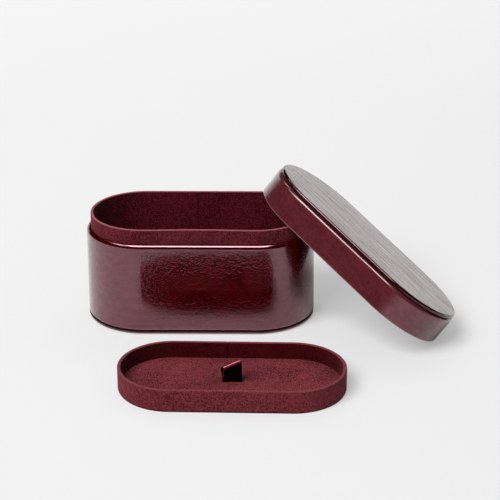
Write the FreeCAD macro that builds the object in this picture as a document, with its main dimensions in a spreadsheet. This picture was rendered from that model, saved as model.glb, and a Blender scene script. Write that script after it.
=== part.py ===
"""Leather jewellery case: a racetrack-shaped box with a raised neck, a lift-off lid that
leans on its right end and a lift-out tray that stands in front of it.

Millimetres. The origin is the middle of the underside of the case, +X runs to the right
along the case, +Z is up and the front faces -Y.
"""
import FreeCAD
import Part
import math
import os
import re
import Sketcher

Vector = FreeCAD.Vector

SIZES = {
    # overall sizes of the case
    "case_length": 210.0,
    "case_width": 108.0,
    "shoulder_height": 88.0,
    "neck_rise": 12.4,
    "lid_height": 30.5,
    # sheet goods
    "leather_thick": 1.1,
    "plate_leather_thick": 0.7,
    "suede_thick": 0.6,
    "turn_in_thick": 0.5,
    "turn_in_depth": 12.0,
    "wall_board_thick": 2.8,
    "neck_board_thick": 1.4,
    "plate_board_thick": 1.7,
    "inner_board_thick": 4.0,
    "floor_foam_thick": 2.0,
    # fits between glued and loose pieces
    "glue_line": 0.05,
    "fit_gap": 0.1,
    "lid_clearance": 0.4,
    "tray_clearance": 0.5,
    # edges
    "edge_round": 0.9,
    "edge_round_small": 0.4,
    # base and lid plates
    "plate_inset": 0.8,
    "groove_height": 1.3,
    "foot_pad_thick": 0.8,
    "foot_pad_inset": 6.0,
    "lining_setback": 1.5,
    # ledge that carries the tray
    "ledge_height": 56.0,
    "ledge_board_thick": 2.4,
    # tray
    "tray_height": 20.4,
    "tray_board_thick": 1.8,
    "tray_floor_board_thick": 2.4,
    "tray_foam_thick": 1.7,
    "underside_inset": 1.2,
    # pull tab of the tray
    "tab_width": 18.0,
    "tab_strap_thick": 1.2,
    "tab_loop_gap": 1.4,
    "tab_foot_gap": 0.2,
    "tab_height_low": 12.5,
    "tab_height_high": 20.0,
    "tab_lean": 3.0,
    "tab_tail_length": 14.0,
    "tab_slot_gap": 0.9,
    "tab_bend_room": 0.9,
    # places of the loose pieces around the case
    "lid_tilt": 37.4,
    "lid_roll": -3.5,
    "lid_spin": -29.8,
    "lid_forward": 23.6,
    "lid_lean_gap": 0.3,
    "tray_distance": 54.1,
    "tray_sideways": 31.4,
    "tray_turn": -1.2,
}

# Insets are measured inwards from the outside of the leather wall, levels upwards from the
# underside of the case, of the lid's mouth or of the tray.
HALF_RUN = "(case_length - case_width) / 2"
WALL_BOARD_IN = "leather_thick + wall_board_thick"
WALL_IN = "leather_thick + wall_board_thick + turn_in_thick"
NECK_OUT = "leather_thick + wall_board_thick + turn_in_thick + fit_gap"
NECK_BOARD_OUT = NECK_OUT + " + suede_thick"
NECK_BOARD_IN = NECK_BOARD_OUT + " + neck_board_thick"
NECK_IN = NECK_BOARD_IN + " + suede_thick"
LEDGE_OUT = NECK_IN + " + fit_gap"
LEDGE_BOARD_IN = LEDGE_OUT + " + ledge_board_thick"
LEDGE_IN = LEDGE_BOARD_IN + " + suede_thick"

PLATE_HEIGHT = "plate_leather_thick + plate_board_thick + turn_in_thick"
WALL_LEVEL = "foot_pad_thick + " + PLATE_HEIGHT + " + groove_height"
BASE_BOARD_LEVEL = "foot_pad_thick + plate_leather_thick"
BASE_INNER_LEVEL = BASE_BOARD_LEVEL + " + plate_board_thick"
FLOOR_LEVEL = BASE_INNER_LEVEL + " + inner_board_thick"
NECK_LEVEL = "shoulder_height + neck_rise"

LID_IN = NECK_OUT + " - lid_clearance"
LID_LINING_OUT = LID_IN + " - suede_thick"
LID_BOARD_IN = LID_LINING_OUT + " - turn_in_thick"
LID_INNER_OUT = LID_LINING_OUT + " + fit_gap"
LID_PLATE_LEVEL = "lid_height - (" + PLATE_HEIGHT + ")"
LID_SKIRT_LEVEL = LID_PLATE_LEVEL + " - groove_height"
LID_INNER_LEVEL = LID_PLATE_LEVEL + " + turn_in_thick - inner_board_thick"

TRAY_OUT = NECK_IN + " + tray_clearance"
TRAY_BOARD_OUT = TRAY_OUT + " + suede_thick"
TRAY_BOARD_IN = TRAY_BOARD_OUT + " + tray_board_thick"
TRAY_IN = TRAY_BOARD_IN + " + suede_thick"
TRAY_BOARD_LEVEL = "suede_thick + turn_in_thick"
TRAY_FOAM_LEVEL = TRAY_BOARD_LEVEL + " + tray_floor_board_thick"
TRAY_SUEDE_LEVEL = TRAY_FOAM_LEVEL + " + tray_foam_thick"
TRAY_FLOOR_LEVEL = TRAY_SUEDE_LEVEL + " + suede_thick"
SLOT_WIDTH = "2 * (tab_strap_thick + tab_slot_gap) + tab_foot_gap"

doc = FreeCAD.newDocument("jewellery_case")
sheet = doc.addObject("Spreadsheet::Sheet", "sizes")
for row, (alias, value) in enumerate(SIZES.items(), 1):
    sheet.set(f"A{row}", alias)
    sheet.set(f"B{row}", str(value))
    sheet.setAlias(f"B{row}", alias)
doc.recompute()


def cells(text):
    """Turns the size names in a formula into references to the cells that hold them."""
    return re.sub(r"[a-z][a-z_]+", lambda word: "sizes." + word.group(0), text)


def plus(level, step):
    return f"{level} + {step}"


def new_body(node):
    body = doc.addObject("PartDesign::Body", node)
    body.Label = node
    return body


def flat_sketch(body, role, level, raised="0"):
    """An empty sketch on one of the body's own origin planes, moved out along its normal."""
    sketch = body.newObject("Sketcher::SketchObject", body.Name + "_outline")
    plane = next(item for item in body.Origin.OriginFeatures if item.Role == role)
    sketch.AttachmentSupport = [(plane, "")]
    sketch.MapMode = "FlatFace"
    sketch.setExpression("AttachmentOffset.Base.z", cells(level))
    sketch.setExpression("AttachmentOffset.Base.y", cells(raised))
    return sketch


def bind(sketch, kind, *where, size, start):
    """Adds a dimension to a sketch and ties it to a formula of the size sheet."""
    index = sketch.addConstraint(Sketcher.Constraint(kind, *where, start))
    sketch.setExpression(f"Constraints[{index}]", cells(size))


def link(sketch, kind, *where):
    sketch.addConstraint(Sketcher.Constraint(kind, *where))


def add_racetrack(sketch, inset):
    """Two half circles and two straight sides, set in from the outside of the case."""
    run = (SIZES["case_length"] - SIZES["case_width"]) / 2
    radius = SIZES["case_width"] / 2
    up = Vector(0, 0, 1)
    quarter = math.pi / 2
    right = sketch.addGeometry(
        Part.ArcOfCircle(Part.Circle(Vector(run, 0, 0), up, radius), -quarter, quarter), False)
    left = sketch.addGeometry(
        Part.ArcOfCircle(Part.Circle(Vector(-run, 0, 0), up, radius), quarter, 3 * quarter), False)
    back = sketch.addGeometry(
        Part.LineSegment(Vector(run, radius, 0), Vector(-run, radius, 0)), False)
    front = sketch.addGeometry(
        Part.LineSegment(Vector(-run, -radius, 0), Vector(run, -radius, 0)), False)
    link(sketch, "Tangent", right, 2, back, 1)
    link(sketch, "Tangent", back, 2, left, 1)
    link(sketch, "Tangent", left, 2, front, 1)
    link(sketch, "Tangent", front, 2, right, 1)
    link(sketch, "PointOnObject", right, 3, -1)
    link(sketch, "PointOnObject", left, 3, -1)
    link(sketch, "Equal", right, left)
    bind(sketch, "DistanceX", -1, 1, right, 3, size=HALF_RUN, start=run)
    bind(sketch, "DistanceX", left, 3, -1, 1, size=HALF_RUN, start=run)
    bind(sketch, "Radius", right, size=f"case_width / 2 - ({inset})", start=radius)


def racetrack(body, level, outer, inner=None):
    sketch = flat_sketch(body, "XY_Plane", level)
    add_racetrack(sketch, outer)
    if inner is not None:
        add_racetrack(sketch, inner)
    return sketch


def rectangle(body, level, length, width):
    """A rectangle centred on the upright axis of the body."""
    sketch = flat_sketch(body, "XY_Plane", level)
    corners = [Vector(-9, -2, 0), Vector(9, -2, 0), Vector(9, 2, 0), Vector(-9, 2, 0)]
    for here, there in zip(corners, corners[1:] + corners[:1]):
        sketch.addGeometry(Part.LineSegment(here, there), False)
    for side in range(4):
        link(sketch, "Coincident", side, 2, (side + 1) % 4, 1)
    link(sketch, "Horizontal", 0)
    link(sketch, "Horizontal", 2)
    link(sketch, "Vertical", 1)
    link(sketch, "Vertical", 3)
    link(sketch, "Symmetric", 0, 1, 2, 1, -1, 1)
    bind(sketch, "DistanceX", 0, 1, 0, 2, size=length, start=18.0)
    bind(sketch, "DistanceY", 1, 1, 1, 2, size=width, start=4.0)
    return sketch


def add(body, sketch, height):
    pad = body.newObject("PartDesign::Pad", body.Name + "_sheet")
    pad.Profile = sketch
    pad.setExpression("Length", cells(height))


def cut(body, sketch, height):
    """Removes what stands above the sketch, up to the given height."""
    pocket = body.newObject("PartDesign::Pocket", body.Name + "_hollow")
    pocket.Profile = sketch
    pocket.Reversed = True
    pocket.setExpression("Length", cells(height))


def round_off(body, end, side, radius):
    """Rounds the outer or inner edge all round the top or bottom of a body."""
    doc.recompute()
    tip = body.Tip
    run = (SIZES["case_length"] - SIZES["case_width"]) / 2
    level = tip.Shape.BoundBox.ZMax if end == "top" else tip.Shape.BoundBox.ZMin

    def reach(point):
        return math.hypot(max(abs(point.x) - run, 0), point.y)

    rim = {}
    for index, edge in enumerate(tip.Shape.Edges, 1):
        points = [vertex.Point for vertex in edge.Vertexes]
        if all(abs(point.z - level) < 1e-4 for point in points):
            rim[f"Edge{index}"] = max(reach(point) for point in points)
    best = max(rim.values()) if side == "outer" else min(rim.values())
    fillet = body.newObject("PartDesign::Fillet", body.Name + "_edge")
    fillet.Base = (tip, [name for name, value in rim.items() if abs(value - best) < 1e-3])
    fillet.setExpression("Radius", cells(radius))


def sheet_body(node, level, height, outer, inner=None):
    """A flat racetrack sheet, or an upright racetrack ring when an inner outline is given."""
    body = new_body(node)
    add(body, racetrack(body, level, outer, inner), height)
    return body


def wrapped_ring(node, level, height, outer, board_out, board_in, inner, top, foot, window):
    """A skin drawn round a board ring. It covers the outside, the top by one thickness, the foot
    by another, and the inside except for a window between two heights."""
    body = sheet_body(node, level, height, outer, inner)
    cut(body, racetrack(body, plus(level, foot), board_out, board_in),
        f"{height} - ({top}) - ({foot})")
    if window is not None:
        start, length = window
        cut(body, racetrack(body, start, board_in, inner), length)
    return body


def wrapped_plate(node, level, inner_board, upside_down):
    """Leather drawn over one face and the edge of a plate, turned in as far as the inner board."""
    body = sheet_body(node, level, PLATE_HEIGHT, "plate_inset")
    cover = "turn_in_thick" if upside_down else "plate_leather_thick"
    turned = level if upside_down else f"{level} + plate_leather_thick + plate_board_thick"
    cut(body, racetrack(body, plus(level, cover), "plate_inset + plate_leather_thick"),
        "plate_board_thick")
    cut(body, racetrack(body, turned, f"{inner_board} - fit_gap"), "turn_in_thick")
    round_off(body, "top" if upside_down else "bottom", "outer", "edge_round")
    round_off(body, "bottom" if upside_down else "top", "outer", "edge_round_small")
    return body


# Case

foot_pad = sheet_body("foot_pad", "0", "foot_pad_thick", "plate_inset + foot_pad_inset")

base_plate_leather = wrapped_plate("base_plate_leather", "foot_pad_thick", NECK_OUT, False)
base_plate_board = sheet_body("base_plate_board", BASE_BOARD_LEVEL, "plate_board_thick",
                              "plate_inset + plate_leather_thick + glue_line")
base_inner_board = sheet_body("base_inner_board", BASE_INNER_LEVEL, "inner_board_thick", NECK_OUT)

wall_height = f"shoulder_height - ({WALL_LEVEL})"
wall_window = (f"{WALL_LEVEL} + turn_in_thick + turn_in_depth",
               f"{wall_height} - 2 * (turn_in_thick + turn_in_depth)")
wall_leather = wrapped_ring("wall_leather", WALL_LEVEL, wall_height, "0", "leather_thick",
                            WALL_BOARD_IN, WALL_IN, "turn_in_thick", "turn_in_thick", wall_window)
round_off(wall_leather, "top", "outer", "edge_round")
round_off(wall_leather, "top", "inner", "edge_round_small")
round_off(wall_leather, "bottom", "outer", "edge_round")
wall_board = sheet_body("wall_board", plus(WALL_LEVEL, "turn_in_thick"),
                        f"{wall_height} - 2 * turn_in_thick",
                        "leather_thick + glue_line", f"{WALL_BOARD_IN} - glue_line")

neck_height = f"{NECK_LEVEL} - ({FLOOR_LEVEL})"
neck_suede = wrapped_ring("neck_suede", FLOOR_LEVEL, neck_height, NECK_OUT, NECK_BOARD_OUT,
                          NECK_BOARD_IN, NECK_IN, "suede_thick", "0", None)
round_off(neck_suede, "top", "outer", "edge_round")
round_off(neck_suede, "top", "inner", "edge_round")
neck_board = sheet_body("neck_board", FLOOR_LEVEL, f"{neck_height} - suede_thick",
                        f"{NECK_BOARD_OUT} + glue_line", f"{NECK_BOARD_IN} - glue_line")

ledge_rise = f"ledge_height - ({FLOOR_LEVEL})"
ledge_suede = sheet_body("ledge_suede", FLOOR_LEVEL, ledge_rise, LEDGE_OUT, LEDGE_IN)
cut(ledge_suede, racetrack(ledge_suede, FLOOR_LEVEL, LEDGE_OUT, LEDGE_BOARD_IN),
    f"{ledge_rise} - suede_thick")
round_off(ledge_suede, "top", "inner", "edge_round_small")
ledge_board = sheet_body("ledge_board", FLOOR_LEVEL, f"{ledge_rise} - suede_thick",
                         f"{LEDGE_OUT} + glue_line", f"{LEDGE_BOARD_IN} - glue_line")

floor_foam = sheet_body("floor_foam", FLOOR_LEVEL, "floor_foam_thick", f"{LEDGE_IN} + fit_gap")
floor_suede = sheet_body("floor_suede", plus(FLOOR_LEVEL, "floor_foam_thick"), "suede_thick",
                         f"{LEDGE_IN} + fit_gap")

# Lid, drawn mouth down on the ground plane and leaned against the case further below

lid_plate_leather = wrapped_plate("lid_plate_leather", LID_PLATE_LEVEL, LID_INNER_OUT, True)
lid_plate_board = sheet_body("lid_plate_board", plus(LID_PLATE_LEVEL, "turn_in_thick"),
                             "plate_board_thick", "plate_inset + plate_leather_thick + glue_line")
lid_inner_board = sheet_body("lid_inner_board", LID_INNER_LEVEL, "inner_board_thick",
                             LID_INNER_OUT)

lid_window = ("turn_in_thick + turn_in_depth",
              f"{LID_INNER_LEVEL} - turn_in_thick - turn_in_depth")
lid_skirt_leather = wrapped_ring("lid_skirt_leather", "0", LID_SKIRT_LEVEL, "0", "leather_thick",
                                 LID_BOARD_IN, LID_LINING_OUT, "turn_in_thick", "turn_in_thick",
                                 lid_window)
round_off(lid_skirt_leather, "top", "outer", "edge_round")
round_off(lid_skirt_leather, "bottom", "outer", "edge_round")
round_off(lid_skirt_leather, "bottom", "inner", "edge_round_small")
lid_skirt_board = sheet_body("lid_skirt_board", "turn_in_thick",
                             f"{LID_SKIRT_LEVEL} - 2 * turn_in_thick",
                             "leather_thick + glue_line", f"{LID_BOARD_IN} - glue_line")
lid_skirt_lining = sheet_body("lid_skirt_lining", "lining_setback",
                              f"{LID_INNER_LEVEL} - lining_setback",
                              f"{LID_LINING_OUT} + glue_line", LID_IN)

lid_foam_level = f"{LID_INNER_LEVEL} - floor_foam_thick"
lid_panel_foam = sheet_body("lid_panel_foam", lid_foam_level, "floor_foam_thick",
                            f"{LID_IN} + fit_gap")
lid_panel_suede = sheet_body("lid_panel_suede", f"{lid_foam_level} - suede_thick", "suede_thick",
                             f"{LID_IN} + fit_gap")

# Tray, drawn standing at the origin and moved out in front of the case further below

tray_underside_suede = sheet_body("tray_underside_suede", "0", "suede_thick",
                                  f"{TRAY_OUT} + underside_inset")

tray_rise = "tray_height - suede_thick"
tray_wall_suede = sheet_body("tray_wall_suede", "suede_thick", tray_rise, TRAY_OUT,
                             f"{TRAY_OUT} + turn_in_depth")
cut(tray_wall_suede, racetrack(tray_wall_suede, TRAY_BOARD_LEVEL, TRAY_IN,
                               f"{TRAY_OUT} + turn_in_depth + glue_line"), "tray_height")
cut(tray_wall_suede, racetrack(tray_wall_suede, TRAY_BOARD_LEVEL, TRAY_BOARD_IN, TRAY_IN),
    "tray_floor_board_thick")
cut(tray_wall_suede, racetrack(tray_wall_suede, TRAY_BOARD_LEVEL, TRAY_BOARD_OUT, TRAY_BOARD_IN),
    f"tray_height - suede_thick - ({TRAY_BOARD_LEVEL})")
round_off(tray_wall_suede, "top", "outer", "edge_round")
round_off(tray_wall_suede, "top", "inner", "edge_round")
round_off(tray_wall_suede, "bottom", "outer", "edge_round_small")
tray_wall_board = sheet_body("tray_wall_board", TRAY_BOARD_LEVEL,
                             f"tray_height - suede_thick - ({TRAY_BOARD_LEVEL})",
                             f"{TRAY_BOARD_OUT} + glue_line", f"{TRAY_BOARD_IN} - glue_line")

tray_floor_board = sheet_body("tray_floor_board", TRAY_BOARD_LEVEL, "tray_floor_board_thick",
                              f"{TRAY_BOARD_IN} + glue_line")
tray_floor_foam = sheet_body("tray_floor_foam", TRAY_FOAM_LEVEL, "tray_foam_thick",
                             f"{TRAY_IN} + fit_gap")
tray_floor_suede = sheet_body("tray_floor_suede", TRAY_SUEDE_LEVEL, "suede_thick",
                              f"{TRAY_IN} + fit_gap")
for layer, level, thick in ((tray_floor_board, TRAY_BOARD_LEVEL, "tray_floor_board_thick"),
                            (tray_floor_foam, TRAY_FOAM_LEVEL, "tray_foam_thick"),
                            (tray_floor_suede, TRAY_SUEDE_LEVEL, "suede_thick")):
    cut(layer, rectangle(layer, level, "tab_width + 2 * fit_gap", SLOT_WIDTH), thick)

tab_tails = new_body("tab_tails")
add(tab_tails, rectangle(tab_tails, "suede_thick", "tab_width", "2 * tab_tail_length"),
    "turn_in_thick")
add(tab_tails, rectangle(tab_tails, TRAY_BOARD_LEVEL, "tab_width",
                         "2 * tab_strap_thick + tab_foot_gap"),
    f"{TRAY_FLOOR_LEVEL} - tab_bend_room - ({TRAY_BOARD_LEVEL})")


def strap_section(body, side, height, lean):
    """The folded strap seen from its end: two legs that rise from the slit and a round fold."""
    sketch = flat_sketch(body, "YZ_Plane", f"{side} * tab_width / 2", TRAY_FLOOR_LEVEL)
    high = 14.0
    fold, inside = 1.9, 0.7
    foot, slit = 1.3, 0.1
    middle = Vector(1, high, 0)
    axis = Vector(0, 0, 1)
    right = Vector(1, 0, 0)
    sketch.addGeometry(Part.ArcOfCircle(Part.Circle(middle, axis, fold), 0, math.pi), False)
    sketch.addGeometry(Part.ArcOfCircle(Part.Circle(middle, axis, inside), 0, math.pi), False)
    legs = [(right * foot, middle + right * fold), (middle - right * fold, right * -foot),
            (right * -foot, right * -slit), (right * -slit, middle - right * inside),
            (middle + right * inside, right * slit), (right * slit, right * foot)]
    for here, there in legs:
        sketch.addGeometry(Part.LineSegment(here, there), False)
    for joint in ((2, 2, 0, 1), (0, 2, 3, 1), (3, 2, 4, 1), (4, 2, 5, 1),
                  (5, 2, 1, 2), (1, 1, 6, 1), (6, 2, 7, 1), (7, 2, 2, 1), (0, 3, 1, 3)):
        link(sketch, "Coincident", *joint)
    for arc in (0, 1):
        for end in (1, 2):
            link(sketch, "Horizontal", arc, end, arc, 3)
    for line, end in ((4, 1), (4, 2), (7, 1), (7, 2)):
        link(sketch, "PointOnObject", line, end, -1)
    outside = "tab_strap_thick + tab_loop_gap / 2"
    foot_out = "tab_strap_thick + tab_foot_gap / 2"
    bind(sketch, "Radius", 0, size=outside, start=fold)
    bind(sketch, "Radius", 1, size="tab_loop_gap / 2", start=inside)
    bind(sketch, "DistanceX", -1, 1, 0, 3, size=lean, start=1.0)
    bind(sketch, "DistanceY", -1, 1, 0, 3, size=f"{height} - ({outside})", start=high)
    bind(sketch, "DistanceX", 4, 1, -1, 1, size=foot_out, start=foot)
    bind(sketch, "DistanceX", 4, 2, -1, 1, size="tab_foot_gap / 2", start=slit)
    bind(sketch, "DistanceX", -1, 1, 7, 1, size="tab_foot_gap / 2", start=slit)
    bind(sketch, "DistanceX", -1, 1, 7, 2, size=foot_out, start=foot)
    return sketch


tab_loop = new_body("tab_loop")
low_end = strap_section(tab_loop, "-1", "tab_height_low", "tab_lean / 4")
high_end = strap_section(tab_loop, "1", "tab_height_high", "tab_lean")
doc.recompute()
loop = tab_loop.newObject("PartDesign::AdditiveLoft", "tab_loop_strap")
loop.Profile = low_end
loop.Sections = [high_end]
loop.Ruled = True
doc.recompute()

# Places of the loose pieces

tray_pieces = [tray_underside_suede, tray_wall_suede, tray_wall_board, tray_floor_board,
               tray_floor_foam, tray_floor_suede, tab_tails, tab_loop]
tray_half_width = max(vertex.Y for vertex in tray_wall_suede.Shape.Vertexes)
tray_middle = Vector(SIZES["tray_sideways"],
                     -(SIZES["case_width"] / 2 + SIZES["tray_distance"] + tray_half_width), 0)
tray_place = FreeCAD.Placement(tray_middle,
                               FreeCAD.Rotation(Vector(0, 0, 1), SIZES["tray_turn"]))
for body in tray_pieces:
    body.Placement = tray_place

lid_pieces = [lid_plate_leather, lid_plate_board, lid_inner_board, lid_skirt_leather,
              lid_skirt_board, lid_skirt_lining, lid_panel_foam, lid_panel_suede]


def leaning_place():
    """Tips the lid, sets its lowest edge on the ground and slides it in along -X until only the
    lean gap is left between it and the case."""
    turn = (FreeCAD.Rotation(Vector(1, 0, 0), SIZES["lid_roll"])
            * FreeCAD.Rotation(Vector(0, 1, 0), SIZES["lid_tilt"])
            * FreeCAD.Rotation(Vector(0, 0, 1), SIZES["lid_spin"]))
    start = Vector(1.5 * SIZES["case_length"], -SIZES["lid_forward"], 0)
    lid = Part.Compound([lid_skirt_leather.Shape, lid_skirt_lining.Shape, lid_panel_suede.Shape])
    lid.Placement = FreeCAD.Placement(start, turn)
    depth = SIZES["case_length"]
    span = 10 * depth
    ground = Part.makePlane(span, span, Vector(-span / 2, -span / 2, -depth))
    start.z = depth - lid.distToShape(ground)[0]
    case = Part.Compound([neck_suede.Shape, wall_leather.Shape])
    gap = SIZES["case_length"]
    while gap > SIZES["lid_lean_gap"] + 0.01:
        lid.Placement = FreeCAD.Placement(start, turn)
        gap = lid.distToShape(case)[0]
        start.x -= max(gap - SIZES["lid_lean_gap"], 0)
    return FreeCAD.Placement(start, turn)


lid_place = leaning_place()
for body in lid_pieces:
    body.Placement = lid_place
doc.recompute()

# Checks and export

bodies = [item for item in doc.Objects if item.TypeId == "PartDesign::Body"]
for item in doc.Objects:
    if "Invalid" in item.State or "Error" in item.State:
        raise RuntimeError(f"{item.Label} did not build: {item.State}")
os.makedirs("parts", exist_ok=True)
for body in bodies:
    if body.Shape.isNull() or not body.Shape.isValid() or len(body.Shape.Solids) != 1:
        raise RuntimeError(f"{body.Label} is not one valid solid")
    body.Shape.exportStep(f"parts/{body.Label}.step")
    box = body.Shape.BoundBox
    print(f"{body.Label}: {body.Shape.Volume:.0f} mm3, z {box.ZMin:.2f} to {box.ZMax:.2f}")
print("tray at", tray_place.Base, "lid at", lid_place.Base, "lid axis",
      lid_place.Rotation.multVec(Vector(0, 0, 1)))
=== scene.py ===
# %% [markdown]
# # A leather jewellery case with a lift-off lid and a lift-out tray
# The case is a racetrack-shaped box of card covered in polished oxblood leather and lined with
# suede. Its lid leans on the right end and its tray stands in front. Most of the card inside comes
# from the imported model; everything that a hand or an eye meets, leather and suede, is modelled
# here.

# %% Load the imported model
import math

import bmesh
import bpy
from mathutils import Euler, Matrix, Vector


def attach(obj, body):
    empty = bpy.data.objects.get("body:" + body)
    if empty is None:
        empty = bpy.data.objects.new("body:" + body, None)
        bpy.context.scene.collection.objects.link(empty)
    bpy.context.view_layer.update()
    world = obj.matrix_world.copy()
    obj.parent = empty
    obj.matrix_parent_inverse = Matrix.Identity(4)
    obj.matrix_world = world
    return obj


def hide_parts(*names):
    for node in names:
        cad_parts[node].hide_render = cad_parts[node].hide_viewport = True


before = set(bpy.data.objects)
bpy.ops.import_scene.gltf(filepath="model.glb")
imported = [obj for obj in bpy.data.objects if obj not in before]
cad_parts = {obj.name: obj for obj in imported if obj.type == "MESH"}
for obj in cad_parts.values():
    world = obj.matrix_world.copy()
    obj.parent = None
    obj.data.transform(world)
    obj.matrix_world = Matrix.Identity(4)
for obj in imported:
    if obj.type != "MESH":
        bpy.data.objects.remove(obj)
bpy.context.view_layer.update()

# %% [markdown]
# ## Sizes
# All sizes are in millimetres and turned into metres where a mesh is made. An inset is measured
# inwards from the outside of the leather wall, a level upwards from the ground, from the lid's
# mouth or from the tray's underside. A racetrack is two half circles joined by straight runs, so
# one radius and one half run describe the outline, and an inset only makes the radius smaller.

# %% Sizes of the case, lid and tray
MM = 0.001
HALF_RUN = 51.0
RADIUS = 54.0
ROUND_STEPS, STRAIGHT_STEP = 64, 9.0
EDGE = 0.9
SMALL_EDGE = 0.4
LEATHER, PLATE_LEATHER, SUEDE = 0.5, 0.45, 0.5

LID_PLACE = (Matrix.Translation(Vector((135.14358, -23.6, 57.82326)) * MM)
             @ Matrix.Rotation(math.radians(-3.5), 4, "X")
             @ Matrix.Rotation(math.radians(37.4), 4, "Y")
             @ Matrix.Rotation(math.radians(-29.8), 4, "Z"))
TRAY_PLACE = (Matrix.Translation(Vector((31.4, -154.5, 0.0)) * MM)
              @ Matrix.Rotation(math.radians(-1.2), 4, "Z"))
CASE_PLACE = Matrix.Identity(4)
print("outside", 2 * (HALF_RUN + RADIUS), "by", 2 * RADIUS, "mm")

# %% [markdown]
# ## Shader sums
# A finish is a small net of nodes. Written as plain sums it stays readable, so one class wraps a
# socket and turns each operator into a Math node, and another holds the material and adds every
# other node from its type, its settings and what goes into its sockets.


# %% Wires and finishes
class Wire:
    """One output socket of a finish, which can be added, multiplied and so on."""

    def __init__(self, finish, socket):
        self.finish, self.socket = finish, socket

    def math(self, operation, first, second=0.0):
        return self.finish.node("ShaderNodeMath", {"operation": operation}, {0: first, 1: second})

    def __add__(self, other):
        return self.math("ADD", self, other)

    def __sub__(self, other):
        return self.math("SUBTRACT", self, other)

    def __rsub__(self, other):
        return self.math("SUBTRACT", other, self)

    def __mul__(self, other):
        return self.math("MULTIPLY", self, other)

    def __truediv__(self, other):
        return self.math("DIVIDE", self, other)

    def __abs__(self):
        return self.math("ABSOLUTE", self)

    def __lt__(self, other):
        return self.math("LESS_THAN", self, other)

    __radd__ = __add__
    __rmul__ = __mul__


class Finish:
    """A material and the nodes it is made of."""

    def __init__(self, name):
        self.material = bpy.data.materials.new(name)
        self.material.use_nodes = True
        self.tree = self.material.node_tree
        self.tree.nodes.clear()

    def node(self, kind, settings=None, sockets=None, output=0):
        made = self.tree.nodes.new(kind)
        for name, value in (settings or {}).items():
            if name == "stops":
                ramp = made.color_ramp
                while len(ramp.elements) < len(value):
                    ramp.elements.new(0.5)
                for element, (place, colour) in zip(ramp.elements, value):
                    element.position, element.color = place, colour
            else:
                setattr(made, name, value)
        for name, value in (sockets or {}).items():
            if isinstance(value, Wire):
                self.tree.links.new(value.socket, made.inputs[name])
            else:
                made.inputs[name].default_value = value
        return Wire(self, made.outputs[output]) if made.outputs else made

    def mix(self, factor, first, second):
        return self.node("ShaderNodeMix", {"data_type": "RGBA"},
                         {0: factor, 6: first, 7: second}, output=2)

    def ramp(self, value, *stops):
        """Follows grey steps (place, brightness), smoothed between them."""
        greys = [(place, (grey, grey, grey, 1)) for place, grey in stops]
        return self.node("ShaderNodeValToRGB", {"stops": greys}, {0: value})

    def place(self, turned_back=None, stretch=(1, 1, 1)):
        """Object coordinates, turned back to the piece's own axes and stretched."""
        point = self.node("ShaderNodeTexCoord", output="Object")
        if turned_back is not None:
            inverse = turned_back.inverted()
            point = self.node("ShaderNodeMapping", {"vector_type": "POINT"}, {
                "Vector": point, "Location": inverse.to_translation(),
                "Rotation": inverse.to_euler("XYZ")})
        if stretch != (1, 1, 1):
            point = self.node("ShaderNodeVectorMath", {"operation": "MULTIPLY"},
                              {0: point, 1: stretch})
        return point

    def noise(self, point, per_metre, detail=3.0, rough=0.55, warp=0.0):
        return self.node("ShaderNodeTexNoise", {}, {
            "Vector": point, "Scale": per_metre, "Detail": detail, "Roughness": rough,
            "Distortion": warp})

    def cells(self, point, per_metre):
        return self.node("ShaderNodeTexVoronoi", {"feature": "F1"},
                         {"Vector": point, "Scale": per_metre}, output="Distance")

    def axis(self, point, name):
        """One coordinate of a point."""
        return self.node("ShaderNodeSeparateXYZ", {}, {0: point}, output=name)

    def bump(self, height, depth_mm):
        return self.node("ShaderNodeBump", {}, {
            "Height": height, "Strength": 1.0, "Distance": depth_mm * MM})

    def surface(self, **sockets):
        """Adds the surface shader; a double underscore in a name stands for a space."""
        named = {name.replace("__", " "): value for name, value in sockets.items()}
        shader = self.node("ShaderNodeBsdfPrincipled", {}, named)
        self.node("ShaderNodeOutputMaterial", {}, {"Surface": shader})
        return self.material


print("wires and finishes are ready")

# %% [markdown]
# ## Polished leather
# The leather is smooth, dark red and waxed to a deep gloss. The gloss is what shows: it mirrors
# the pale floor and the tray. Fine grain, pores and a slow waviness break up that mirror, so they
# are made as height and fed to one bump, which fades where the leather is drawn tight over an
# edge. The colour only drifts a little. A pale line is painted along the lower edges of the wall
# and the lid, a painted highlight where these edges catch the pale floor. A clear coat gives the
# wax, and on the lid's top, where it has been rubbed one way, the coat thins in long streaks.


# %% Leather finishes
# Colour and width of the painted highlight along the lower edges.
LOWER_EDGE_HIGHLIGHT = (0.42, 0.27, 0.28, 1)
LOWER_EDGE_WIDTH, TIGHT_FADE = 2.0, 3.0
MEAN_HEIGHT = 1.26


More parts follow.
